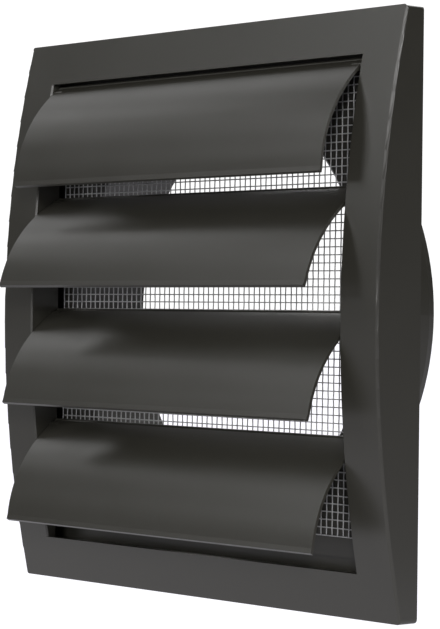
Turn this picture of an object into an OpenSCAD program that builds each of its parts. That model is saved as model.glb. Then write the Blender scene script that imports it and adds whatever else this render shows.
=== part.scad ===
// Gravity-flap wall vent in moulded plastic: a square frame with a bowed face,
// four hinged flaps, an insect screen and a wall plate with a round duct spigot.
// The face looks along -Y, Z is up, and the wall is the plane y = 0.

/* [Frame] */
// Width of the face
face_w = 187; // [170:1:225]
// Height of the face
face_h = 187; // [160:1:225]
// Width of the border at the left and right of the opening
border_side = 16.2; // [14:0.1:20]
// Width of the border above and below the opening
border_top = 14.3; // [12:0.1:20]
// Depth of the frame at its top and bottom edges
edge_depth = 7; // [6:0.1:9]
// How far the face bows out between those edges
face_bow = 11.5; // [9:0.1:14]
// Thickness of the face and of the outer walls
shell_t = 2.2; // [1.6:0.1:3]
// Thickness of the wall that lines the opening
liner_t = 2; // [1.6:0.1:2.6]
// How far the lining wall reaches behind the hinges
liner_lap = 1.9; // [1.7:0.1:3]
// Radius of the long front edges
edge_r = 0.8; // [0.5:0.1:1.2]
// Radius of the outline's four corners
corner_r = 1.5; // [1:0.1:3]
// Chamfer of the opening's front edges
edge_chamfer = 0.5; // [0.3:0.1:0.8]
// Thickness of the stiffening ribs inside the frame
rib_t = 1.5; // [1.2:0.1:2.4]

/* [Flaps] */
// Opening of each flap from upright, from top to bottom, in degrees
flap_open = [28.9, 40.4, 36.6, 32]; // [6:0.1:55]
// Thickness of a flap
flap_t = 1; // [0.8:0.1:1.5]
// Radius of a flap's curved outer face
flap_r = 44; // [36:1:60]
// Gap between a flap's end and the lining wall
flap_end_gap = 0.6; // [0.4:0.1:1]
// Length of the straight lip along a flap's bottom edge
lip_h = 1.6; // [1:0.1:3.5]
// Lean of that lip from the hanging flap's upright, in degrees
lip_lean = 18; // [0:0.1:24]
// How far a hanging flap's lip stays above the next hinge
lip_raise = 1.2; // [0.8:0.1:2.2]
// Radius of the bead along a flap's top edge
bead_r = 0.8; // [0.7:0.05:1]
// Height of that bead above the hinge
bead_rise = 2.4; // [2:0.1:2.6]
// Depth of the hinge behind a flap's outer face
hinge_inset = 1.2; // [1:0.1:1.5]
// Depth of the top hinge behind the face
hinge_back = 2.2; // [2.1:0.01:2.8]
// Distance of the top hinge below the opening's top
hinge_drop = 3.5; // [3.5:0.1:6]
// Gap left under the bottom flap's pitch
sill_gap = 0.3; // [0:0.1:2]
// Radius of the hinge pins
pin_r = 1.4; // [1.2:0.05:1.6]
// Radial clearance of a pin in its hole
pin_gap = 0.05; // [0.02:0.01:0.1]
// Length of a pin's root along the back of a flap
pin_root = 4; // [3:0.5:8]
// Radius of the round lug that holds a pin
lug_r = 3.4; // [3:0.1:4]
// How far a lug stands out behind the lining wall
lug_h = 2.2; // [1.5:0.1:3]

/* [Wall plate] */
// Thickness of the plate
plate_t = 2; // [1.6:0.1:2.6]
// Gap between the plate's edge and the frame
plate_gap = 0.3; // [0.2:0.05:0.5]
// How far the seat stands back from the top and bottom of the opening
seat_inset = 3.8; // [2:0.1:6]
// Outer diameter of the duct spigot
duct_d = 148; // [98:1:150]
// Wall of the duct spigot
duct_t = 2.5; // [1.6:0.1:3]
// Length of the duct spigot behind the wall
duct_len = 27; // [20:1:60]
// Length of the spigot's lead-in chamfer
duct_lead = 3; // [1:0.5:5]
// Chamfer at the bore's mouth
mouth_c = 1.7; // [1:0.1:2.5]
// Radius of the four screw holes
screw_r = 2.25; // [1.6:0.05:2.8]
// Distance of the screw holes from the plate's edges
screw_inset = 7; // [5:0.1:8]
// Radius of the snap beads that hold the plate in the frame
snap_r = 0.6; // [0.5:0.05:0.7]
// Length of a snap bead
snap_len = 30; // [15:1:50]
// Gap round a snap bead in its groove
snap_gap = 0.12; // [0.08:0.01:0.2]

/* [Insect screen] */
// Diameter of the screen's wire
wire_d = 0.4; // [0.3:0.05:0.6]
// Distance between the wires, both ways
mesh_pitch = 2.5; // [2:0.1:5]
// Gap between the screen and the flaps' top edges as they swing
screen_gap = 1.3; // [0.5:0.1:1.6]
// How far the screen stands past the opening's sides
screen_margin = 0.4; // [0:0.1:1]
// How far the screen stands back from the top of the opening
screen_top = 5.3; // [4:0.1:14]
// How far the screen stands back from the bottom of the opening
screen_sill = 9.5; // [4:0.1:14]

/* [Hidden] */
$fn = 96;
flap_count = 4;
plastic = [0.25, 0.25, 0.24];
flap_plastic = [0.29, 0.29, 0.28];
wire_metal = [0.66, 0.66, 0.64];

// The face is one arc that spans the full height
face_r = (pow(face_h / 2, 2) + pow(face_bow, 2)) / (2 * face_bow);
depth = edge_depth + face_bow;
arc_y = face_r - depth;
arc_fn = 720;
// Room that a cutter stands past the surface it cuts
past = 1;

opening_w = face_w - 2 * border_side;
opening_h = face_h - 2 * border_top;
room_w = face_w - 2 * shell_t;
room_h = face_h - 2 * shell_t;

pitch = (opening_h - hinge_drop - sill_gap) / flap_count;
flap_w = opening_w - 2 * flap_end_gap;
flap_h = pitch - lip_raise;
// Where the lip begins, with the hinge at the origin and the flap hanging
lip_y = -lip_h * sin(lip_lean);
lip_z = -flap_h + lip_h * cos(lip_lean);
lip_far = sqrt(pow(lip_y, 2) + pow(lip_z, 2));
// Centre of the flap's arc, along the line to the lip and square to it
flap_along = (pow(flap_r - hinge_inset, 2) + pow(lip_far, 2) - pow(flap_r, 2)) / (2 * lip_far);
flap_square = sqrt(pow(flap_r - hinge_inset, 2) - pow(flap_along, 2));
flap_cy = (flap_along * lip_y - flap_square * lip_z) / lip_far;
flap_cz = (flap_along * lip_z + flap_square * lip_y) / lip_far;
pin_end = opening_w / 2 + liner_t + lug_h - 0.2;
hinge_hole_r = pin_r + pin_gap;
hinge_y = face_y(hinge_z(0)) - hinge_back;
liner_end = hinge_y - liner_lap;
// Y of the bead along a hanging flap's top edge, and how far it reaches from the hinge
bead_y = (arc_at(flap_r, bead_rise) + arc_at(flap_r - flap_t, bead_rise)) / 2;
bead_reach = sqrt(pow(bead_y, 2) + pow(bead_rise, 2)) + bead_r;

plate_w = room_w - 2 * plate_gap;
plate_h = room_h - 2 * plate_gap;
seat_w = opening_w + 2 * screen_margin;
seat_tall = opening_h - 2 * seat_inset;
bore_r = duct_d / 2 - duct_t;
lead_step = 1;
screw_x = plate_w / 2 - screw_inset;
screw_z = plate_h / 2 - screw_inset;

// The screen lies just behind the flaps, and its seat fills the room down to the plate
screen_y = -hinge_y + bead_reach + screen_gap + 2 * wire_d;
seat_h = -screen_y - plate_t;
warp_count = floor((seat_w - wire_d) / mesh_pitch);
weft_count = floor((opening_h - screen_top - screen_sill - wire_d) / mesh_pitch);
screen_z = (screen_sill - screen_top) / 2;
screen_w = warp_count * mesh_pitch + wire_d;
screen_h = weft_count * mesh_pitch + wire_d;

// Distance of the face from the wall at height z
function face_y(z) = depth - face_r + sqrt(pow(face_r, 2) - pow(z, 2));

// Height of hinge k, counted from 0 at the top
function hinge_z(k) = opening_h / 2 - hinge_drop - k * pitch;

// Y of the flap's arc of radius r at height z, with the flap hanging
function arc_at(r, z) = flap_cy - sqrt(pow(r, 2) - pow(z - flap_cz, 2));

// A box centred on x and z that runs from y0 to y1
module slab(w, h, y0, y1) {
    translate([-w / 2, y0, -h / 2]) cube([w, y1 - y0, h]);
}

// Turns a profile of radius and width about the axis of the bowed face
module about_face_axis() {
    translate([0, arc_y, 0]) rotate([0, 90, 0]) rotate_extrude($fn = arc_fn) children();
}

// Section of the bowed face with its two rounded edges
module face_section() {
    difference() {
        translate([face_r - 2 * depth, -face_w / 2]) square([2 * depth, face_w]);
        for (side = [-1, 1]) {
            translate([face_r - edge_r, side * (face_w / 2 - edge_r)]) difference() {
                translate([0, side < 0 ? -2 * edge_r : 0]) square(2 * edge_r);
                circle(r = edge_r, $fn = 48);
            }
        }
    }
}

// Outline of the face, seen from the front, with its four corners rounded
module outline() {
    square([face_w + 2 * past, face_h - 2 * corner_r], center = true);
    square([face_w - 2 * corner_r, face_h], center = true);
    for (x = [-1, 1], z = [-1, 1]) {
        translate([x * (face_w / 2 - corner_r), z * (face_h / 2 - corner_r)]) circle(r = corner_r, $fn = 48);
    }
}

// The solid frame before it is hollowed
module frame_block() {
    intersection() {
        about_face_axis() face_section();
        rotate([90, 0, 0]) linear_extrude(depth + past) outline();
    }
}

// The opening, with a chamfer along its four front edges
module opening_cut() {
    slab(opening_w, opening_h, -depth - past, past);
    intersection() {
        about_face_axis() polygon([
            [face_r - edge_chamfer, -opening_w / 2],
            [face_r + past, -opening_w / 2 - edge_chamfer - past],
            [face_r + past, opening_w / 2 + edge_chamfer + past],
            [face_r - edge_chamfer, opening_w / 2]
        ]);
        slab(face_w, opening_h, -depth - past, past);
    }
}

// What is kept inside the hollow of the frame: lining, ribs and hinge lugs
module frame_inside() {
    slab(opening_w + 2 * liner_t, opening_h + 2 * liner_t, -depth - past, -liner_end);
    for (side = [-1, 1]) {
        for (k = [0 : flap_count - 1]) {
            translate([side * (opening_w / 2 + (liner_t + lug_h) / 2), -hinge_y, hinge_z(k)])
                rotate([0, 90, 0]) cylinder(r = lug_r, h = liner_t + lug_h, center = true);
            translate([side * (opening_w + room_w + 2 * liner_t) / 4, 0, hinge_z(k) - pitch / 2]) rib_side();
        }
        for (x = [-1, 0, 1]) {
            translate([x * opening_w / 3, 0, side * (opening_h + room_h + 2 * liner_t) / 4]) rib_top();
        }
    }
}

module rib_side() {
    slab((room_w - opening_w) / 2 - liner_t + 2 * past, rib_t, -depth - past, -plate_t);
}

module rib_top() {
    slab(rib_t, (room_h - opening_h) / 2 - liner_t + 2 * past, -depth - past, -plate_t);
}

// The room behind the face, between the outer walls
module frame_room() {
    intersection() {
        translate([0, arc_y, 0]) rotate([0, 90, 0])
            cylinder(r = face_r - shell_t, h = face_w, center = true, $fn = arc_fn);
        slab(room_w, room_h, -depth, past);
    }
}

// Half-round beads on the outer walls, or their grooves when grown by a gap
module snap_beads(grow) {
    for (side = [-1, 1]) {
        translate([side * room_w / 2, -plate_t / 2, 0])
            cylinder(r = snap_r + grow, h = snap_len + 2 * grow, center = true, $fn = 32);
        translate([0, -plate_t / 2, side * room_h / 2]) rotate([0, 90, 0])
            cylinder(r = snap_r + grow, h = snap_len + 2 * grow, center = true, $fn = 32);
    }
}

module front_frame() {
    color(plastic) difference() {
        frame_block();
        difference() {
            frame_room();
            frame_inside();
            snap_beads(0);
        }
        opening_cut();
        for (side = [-1, 1], k = [0 : flap_count - 1]) {
            translate([side * (opening_w / 2 + (liner_t + lug_h) / 2), -hinge_y, hinge_z(k)])
                rotate([0, 90, 0]) cylinder(r = hinge_hole_r, h = liner_t + lug_h + 2 * past, center = true);
        }
    }
}

// Half section of the spigot, with its lead-in, turned about the duct axis
module spigot_section() {
    polygon([
        [bore_r, -plate_t],
        [duct_d / 2, -plate_t],
        [duct_d / 2, duct_len - duct_lead],
        [duct_d / 2 - lead_step, duct_len],
        [bore_r, duct_len]
    ]);
}

// What widens the bore at its mouth
module mouth_section() {
    polygon([
        [bore_r - past, -mouth_c - past],
        [bore_r + mouth_c + past, past],
        [bore_r - past, past]
    ]);
}

// Turns a half section about the duct axis, with its height along +Y
module about_duct_axis() {
    rotate([-90, 0, 0]) rotate_extrude($fn = 180) children();
}

module wall_plate() {
    color(plastic) difference() {
        union() {
            slab(plate_w, plate_h, -plate_t, 0);
            slab(seat_w, seat_tall, -plate_t - seat_h, -plate_t / 2);
            about_duct_axis() spigot_section();
        }
        rotate([-90, 0, 0]) cylinder(r = bore_r, h = 2 * duct_len + 2 * depth, center = true, $fn = 180);
        translate([0, screen_y, 0]) rotate([180, 0, 0]) about_duct_axis() mouth_section();
        for (x = [-1, 1], z = [-1, 1]) {
            translate([x * screw_x, -plate_t / 2, z * screw_z]) rotate([90, 0, 0])
                cylinder(r = screw_r, h = plate_t + 2 * past, center = true, $fn = 48);
        }
        snap_beads(snap_gap);
    }
}

// One straight wire, eight-sided, with flats against the layer it crosses
module wire(len) {
    rotate([0, 0, 22.5]) cylinder(r = wire_d / 2 / cos(22.5), h = len, center = true, $fn = 8);
}

module insect_screen() {
    color(wire_metal) {
        for (i = [0 : weft_count]) {
            translate([0, screen_y - wire_d / 2, screen_z + (i - weft_count / 2) * mesh_pitch])
                rotate([0, 90, 0]) wire(screen_w);
        }
        for (i = [0 : warp_count]) {
            translate([(i - warp_count / 2) * mesh_pitch, screen_y - 1.5 * wire_d, screen_z]) wire(screen_h);
        }
    }
}

// Section of a hanging flap in y and z, with the hinge at the origin
module flap_section() {
    lip_in = arc_at(flap_r - flap_t, lip_z);
    root_z = lip_z + flap_t / 2;
    root_y = (arc_at(flap_r, root_z) + arc_at(flap_r - flap_t, root_z)) / 2;
    intersection() {
        translate([flap_cy, flap_cz]) difference() {
            circle(r = flap_r, $fn = 360);
            circle(r = flap_r - flap_t, $fn = 360);
        }
        translate([flap_cy - 2 * flap_r, lip_z]) square([2 * flap_r, bead_rise - lip_z]);
    }
    polygon([
        [lip_y, lip_z],
        [root_y, root_z],
        [lip_in, lip_z],
        [lip_in - lip_y, -flap_h],
        [0, -flap_h]
    ]);
    translate([bead_y, bead_rise]) circle(r = bead_r, $fn = 48);
}

// Flap k, hung on its hinge and swung out by its opening angle
module flap(k) {
    color(flap_plastic) translate([0, -hinge_y, hinge_z(k)]) rotate([-flap_open[k], 0, 0]) {
        rotate([90, 0, 90]) linear_extrude(flap_w, center = true) flap_section();
        for (side = [-1, 1]) {
            translate([side * (flap_w / 2 - pin_root + pin_end) / 2, 0, 0]) rotate([0, 90, 0])
                cylinder(r = pin_r, h = pin_end - flap_w / 2 + pin_root, center = true, $fn = 48);
        }
    }
}

module flap_1() {
    flap(0);
}

module flap_2() {
    flap(1);
}

module flap_3() {
    flap(2);
}

module flap_4() {
    flap(3);
}

front_frame();
wall_plate();
insect_screen();
flap_1();
flap_2();
flap_3();
flap_4();
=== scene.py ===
"""Looks of the wall vent: satin moulded plastic, a woven insect screen, and a pale studio."""

import math

import bpy
import numpy as np
from mathutils import Matrix, Vector


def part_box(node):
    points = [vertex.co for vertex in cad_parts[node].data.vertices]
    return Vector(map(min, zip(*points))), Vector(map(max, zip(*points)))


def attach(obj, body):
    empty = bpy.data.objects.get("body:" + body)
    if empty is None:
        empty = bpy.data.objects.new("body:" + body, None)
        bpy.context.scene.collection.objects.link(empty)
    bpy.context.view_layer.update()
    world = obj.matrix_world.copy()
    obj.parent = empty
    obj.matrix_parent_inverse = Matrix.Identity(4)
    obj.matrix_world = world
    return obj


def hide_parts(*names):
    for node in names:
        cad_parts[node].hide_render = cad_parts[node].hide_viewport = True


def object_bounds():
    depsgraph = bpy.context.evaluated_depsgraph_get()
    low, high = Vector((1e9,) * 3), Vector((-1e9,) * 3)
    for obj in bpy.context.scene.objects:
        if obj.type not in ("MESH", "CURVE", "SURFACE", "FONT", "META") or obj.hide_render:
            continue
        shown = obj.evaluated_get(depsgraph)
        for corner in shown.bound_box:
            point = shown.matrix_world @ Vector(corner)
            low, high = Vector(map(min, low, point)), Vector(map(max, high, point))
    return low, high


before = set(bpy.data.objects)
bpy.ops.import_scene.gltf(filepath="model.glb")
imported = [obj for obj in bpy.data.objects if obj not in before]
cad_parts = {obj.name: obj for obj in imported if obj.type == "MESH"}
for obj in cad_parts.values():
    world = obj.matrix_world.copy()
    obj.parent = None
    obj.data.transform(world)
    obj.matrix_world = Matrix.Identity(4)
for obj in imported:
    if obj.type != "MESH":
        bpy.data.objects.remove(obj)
cad_box = [list(v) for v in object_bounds()]
scene = bpy.context.scene

# Plastic: linear colour, roughness and grain (the strength of the fine bump)
DARK_GREY = (0.033, 0.03135, 0.0251)
SATIN, DULL_SATIN = 0.29, 0.33
GRAIN = 0.06
FLAPS = ("flap_1", "flap_2", "flap_3", "flap_4")

# Screen, in metres
WIRE_RADIUS = 0.000214  # a five-sided wire covers as much as a round one of 0.4 mm
WIRE_SIDES = 5
PITCH = 0.0025
WEAVE = WIRE_RADIUS * 0.25  # rise and fall; at a crossing the two wires run into each other
WAVER = 0.00005  # sideways, one standard deviation

# Light: what the floor and the world show, and what they throw on the object
FLOOR_COLOUR = (0.95, 0.94, 1.0)
FLOOR_SEEN = 1.2
FLOOR_CAST_NEAR, FLOOR_CAST_FAR = 0.60, 0.357
FLOOR_NEAR, FLOOR_FAR = 0.19, 0.25
FLOOR_HALF, FLOOR_GAP = 6.0, 0.0005
WORLD_SEEN, WORLD_CAST = 1.1, 0.02

# name, azimuth from +X toward +Y, elevation, strength and spread, all angles in degrees
LIGHTS = (
    ("left", 174, 40, 0.094, 20),
    ("left_low", 195, 28, 0.031, 8),
    ("left_mid", 190, 35, 0.038, 8),
    ("front_left", 222, 40, 0.161, 20),
    ("key", 225, 30, 0.077, 10),
    ("key_mid", 225, 20, 0.050, 10),
    ("key_low", 235, 12, 0.137, 10),
    ("front", 270, 8, 0.42, 20),
    ("front_right", 290, 8, 0.42, 20),
    ("edge", 319, 20, 0.62, 8),
    ("edge_low", 319, 14, 0.42, 8),
    ("right_low", 350, 8, 0.42, 20),
    ("right", 350, 24, 0.42, 20),
    ("back_high", 112, 50, 2.4, 50),
    ("back_left", 128, 38, 1.1, 40),
)


# ---------------------------------------------------------------- materials
class Nodes:
    """A material's node tree, with its object coordinates and its shader."""

    def __init__(self, name):
        self.material = bpy.data.materials.new(name)
        self.material.use_nodes = True
        self.tree = self.material.node_tree
        self.shader = self.tree.nodes["Principled BSDF"].inputs
        self.coords = self.tree.nodes.new("ShaderNodeTexCoord").outputs["Object"]

    def add(self, kind, **values):
        node = self.tree.nodes.new(kind)
        for name, value in values.items():
            setattr(node, name, value)
        return node

    def link(self, out, into):
        self.tree.links.new(out, into)

    def noise(self, scale, detail, rough):
        node = self.add("ShaderNodeTexNoise")
        node.inputs["Scale"].default_value = scale
        node.inputs["Detail"].default_value = detail
        node.inputs["Roughness"].default_value = rough
        self.link(self.coords, node.inputs["Vector"])
        return node.outputs["Fac"]

    def ramp(self, value, source, target):
        """Maps a range of values onto another one, and keeps within it."""
        node = self.add("ShaderNodeMapRange")
        node.inputs["From Min"].default_value, node.inputs["From Max"].default_value = source
        node.inputs["To Min"].default_value, node.inputs["To Max"].default_value = target
        self.link(value, node.inputs["Value"])
        return node.outputs["Result"]

    def grey(self, shade):
        node = self.add("ShaderNodeCombineColor")
        for channel in range(3):
            self.link(shade, node.inputs[channel])
        return node.outputs[0]


def plastic(name, rough, mottle=0.04, gleam=0.75):
    """Satin moulded plastic: fine grain, faint mottling and slightly uneven gloss."""
    nodes = Nodes(name)
    broad = nodes.noise(45.0, 3.0, 0.55)
    fine = nodes.noise(900.0, 3.0, 0.6)
    both = nodes.add("ShaderNodeMath", operation="ADD")
    nodes.link(broad, both.inputs[0])
    nodes.link(fine, both.inputs[1])
    shade = nodes.ramp(both.outputs[0], (0.6, 1.4), (1.0 - mottle, 1.0 + mottle))
    tint = nodes.add("ShaderNodeMix", data_type="RGBA", blend_type="MULTIPLY")
    factor, first, second = tint.inputs[0], tint.inputs[6], tint.inputs[7]
    factor.default_value = 1.0
    first.default_value = (*DARK_GREY, 1.0)
    nodes.link(nodes.grey(shade), second)
    nodes.link(tint.outputs[2], nodes.shader["Base Color"])
    # Below a roughness of 0.275 the denoiser leaves blotches.
    gloss = nodes.ramp(broad, (0.3, 0.7), (rough - 0.01, rough + 0.025))
    nodes.link(gloss, nodes.shader["Roughness"])
    nodes.shader["Specular IOR Level"].default_value = gleam
    bump = nodes.add("ShaderNodeBump")
    bump.inputs["Strength"].default_value = GRAIN
    bump.inputs["Distance"].default_value = 0.0002
    nodes.link(fine, bump.inputs["Height"])
    nodes.link(bump.outputs["Normal"], nodes.shader["Normal"])
    return nodes.material


def wire(name):
    """Dull drawn wire, a little darker where the grain runs."""
    nodes = Nodes(name)
    grain = nodes.noise(1200.0, 2.0, 0.6)
    shade = nodes.ramp(grain, (0.3, 0.7), (0.46, 0.6))
    nodes.link(nodes.grey(shade), nodes.shader["Base Color"])
    nodes.shader["Metallic"].default_value = 0.2
    gloss = nodes.ramp(grain, (0.3, 0.7), (0.38, 0.5))
    nodes.link(gloss, nodes.shader["Roughness"])
    return nodes.material


def paint(node, material):
    """Puts one material on every slot of a CAD node."""
    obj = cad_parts[node]
    for i, slot in enumerate(obj.material_slots):
        obj.data.materials[i] = material
        slot.material = material


paint("front_frame", plastic("frame_plastic", SATIN))
paint("wall_plate", plastic("plate_plastic", DULL_SATIN))
flap_skin = plastic("flap_plastic", SATIN)
for flap in FLAPS:
    paint(flap, flap_skin)


# ---------------------------------------------------------------- woven screen
class Wires:
    """Gathers the faces of thin tubes along rows of points."""

    def __init__(self):
        self.verts, self.faces = [], []

    def tube(self, points, across, upward):
        """One wire; across is its sideways direction in X and Z, upward if that is +Z."""
        base = len(self.verts)
        for x, y, z in points:
            for side in range(WIRE_SIDES):
                angle = 2 * math.pi * side / WIRE_SIDES
                aside = WIRE_RADIUS * math.cos(angle)
                depth = WIRE_RADIUS * math.sin(angle)
                self.verts.append((x + aside * across[0], y + depth, z + aside * across[1]))
        for ring in range(base, base + (len(points) - 1) * WIRE_SIDES, WIRE_SIDES):
            for side in range(WIRE_SIDES):
                a, b = ring + side, ring + (side + 1) % WIRE_SIDES
                c, d = b + WIRE_SIDES, a + WIRE_SIDES
                self.faces.append((b, a, d, c) if upward else (a, b, c, d))
        last = base + (len(points) - 1) * WIRE_SIDES
        turn = 1 if upward else -1
        self.faces.append([base + side for side in range(WIRE_SIDES)][::turn])
        self.faces.append([last + side for side in range(WIRE_SIDES)][::-turn])


def woven_screen():
    """Wires that rise and fall a little over and under each other, for the straight ones."""
    low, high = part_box("insect_screen")
    mid_y, mid_z = (low.y + high.y) / 2, (low.z + high.z) / 2
    last_x, last_z = int((high.x - low.x) / PITCH), int((high.z - low.z) / PITCH)
    xs = [(i - last_x / 2) * PITCH for i in range(last_x + 1)]
    zs = [mid_z + (i - last_z / 2) * PITCH for i in range(last_z + 1)]
    rng = np.random.default_rng(7)
    wires = Wires()

    def waver(number, last, crossings):
        """How far each of a wire's points stands aside; the outermost wires are straight."""
        reach = WAVER * rng.standard_normal() if 0 < number < last else 0.0
        return [reach * math.sin(math.pi * i / (2 * crossings)) for i in range(2 * crossings + 1)]

    for j, x in enumerate(xs):
        points = []
        for i, aside in enumerate(waver(j, last_x, last_z)):
            over = (WEAVE if (i // 2 + j) % 2 else -WEAVE) if i % 2 == 0 else 0.0
            points.append((x + aside, mid_y + over, zs[0] + (i / 2) * PITCH))
        wires.tube(points, across=(1, 0), upward=False)
    for i, z in enumerate(zs):
        points = []
        for j, aside in enumerate(waver(i, last_z, last_x)):
            over = (-WEAVE if (i + j // 2) % 2 else WEAVE) if j % 2 == 0 else 0.0
            points.append((xs[0] + (j / 2) * PITCH, mid_y + over, z + aside))
        wires.tube(points, across=(0, 1), upward=True)

    mesh = bpy.data.meshes.new("screen_mesh")
    mesh.from_pydata(wires.verts, [], wires.faces)
    mesh.update()
    mesh.shade_smooth()
    mesh.materials.append(wire("screen_wire"))
    obj = bpy.data.objects.new("woven_screen", mesh)
    scene.collection.objects.link(obj)
    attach(obj, "housing")
    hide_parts("insect_screen")


woven_screen()


# ---------------------------------------------------------------- camera
def photo_camera():
    """The photograph's camera, from a fit to its corners, curves and screen."""
    yaw, pitch, roll = (math.radians(angle) for angle in (48.86, -0.02, 0.67))
    target, distance = Vector((0.00136, 0.0, -0.00064)), 0.8327
    ahead = Vector((
        -math.sin(yaw) * math.cos(pitch),
        math.cos(yaw) * math.cos(pitch),
        -math.sin(pitch),
    ))
    level = Vector((math.cos(yaw), math.sin(yaw), 0.0))
    above = level.cross(ahead)
    right = level * math.cos(roll) + above * math.sin(roll)
    up = -level * math.sin(roll) + above * math.cos(roll)
    data = bpy.data.cameras.new("camera")
    data.sensor_width = 36.0
    data.lens = 144.56
    data.clip_start, data.clip_end = 0.01, 50.0
    camera = bpy.data.objects.new("camera", data)
    place = Matrix.Translation(target - ahead * distance)
    for row in range(3):
        place[row][0], place[row][1], place[row][2] = right[row], up[row], -ahead[row]
    camera.matrix_world = place
    scene.collection.objects.link(camera)
    scene.camera = camera


photo_camera()


# ---------------------------------------------------------------- studio
def soft_light(name, azimuth, elevation, strength, spread):
    """A broad soft light far away."""
    az, el = math.radians(azimuth), math.radians(elevation)
    toward = Vector((math.cos(az) * math.cos(el), math.sin(az) * math.cos(el), math.sin(el)))
    data = bpy.data.lights.new(name, "SUN")
    data.energy = strength
    data.angle = math.radians(spread)
    light = bpy.data.objects.new(name, data)
    light.rotation_euler = toward.to_track_quat("Z", "Y").to_euler()
    scene.collection.objects.link(light)


def seen_and_cast(tree, seen, cast, colour):
    """An even glow that is one strength in the picture and another as light on the object.

    Returns the glow's output and the input that its strength as light goes into.
    """
    path = tree.nodes.new("ShaderNodeLightPath")
    strength = tree.nodes.new("ShaderNodeMapRange")
    strength.inputs["To Min"].default_value = cast
    strength.inputs["To Max"].default_value = seen
    tree.links.new(path.outputs["Is Camera Ray"], strength.inputs["Value"])
    glow = tree.nodes.new("ShaderNodeEmission")
    glow.inputs["Color"].default_value = (*colour, 1)
    tree.links.new(strength.outputs["Result"], glow.inputs["Strength"])
    return glow.outputs[0], strength.inputs["To Min"]


def fall_off(tree, into):
    """The light that the floor sends up falls off away from the object."""
    place = tree.nodes.new("ShaderNodeNewGeometry")
    reach = tree.nodes.new("ShaderNodeVectorMath")
    reach.operation = "LENGTH"
    tree.links.new(place.outputs["Position"], reach.inputs[0])
    pool = tree.nodes.new("ShaderNodeMapRange")
    pool.interpolation_type = "SMOOTHSTEP"
    pool.inputs["From Min"].default_value = FLOOR_NEAR
    pool.inputs["From Max"].default_value = FLOOR_FAR
    pool.inputs["To Min"].default_value = FLOOR_CAST_NEAR
    pool.inputs["To Max"].default_value = FLOOR_CAST_FAR
    tree.links.new(reach.outputs["Value"], pool.inputs["Value"])
    tree.links.new(pool.outputs["Result"], into)


def studio():
    """A pale floor and background, and the soft lights round the object."""
    half, z = FLOOR_HALF, cad_box[0][2] - FLOOR_GAP
    mesh = bpy.data.meshes.new("floor")
    corners = [(-half, -half, z), (half, -half, z), (half, half, z), (-half, half, z)]
    mesh.from_pydata(corners, [], [(0, 1, 2, 3)])
    floor = bpy.data.objects.new("floor", mesh)
    scene.collection.objects.link(floor)
    material = bpy.data.materials.new("floor_sheet")
    material.use_nodes = True
    tree = material.node_tree
    tree.nodes.remove(tree.nodes["Principled BSDF"])
    glow, cast = seen_and_cast(tree, FLOOR_SEEN, FLOOR_CAST_NEAR, FLOOR_COLOUR)
    fall_off(tree, cast)
    tree.links.new(glow, tree.nodes["Material Output"].inputs["Surface"])
    mesh.materials.append(material)

    world = bpy.data.worlds.new("studio")
    world.use_nodes = True
    tree = world.node_tree
    glow, _ = seen_and_cast(tree, WORLD_SEEN, WORLD_CAST, (1, 1, 1))
    tree.links.new(glow, tree.nodes["World Output"].inputs["Surface"])
    scene.world = world

    for light in LIGHTS:
        soft_light(*light)


studio()
scene.view_settings.view_transform = "Standard"
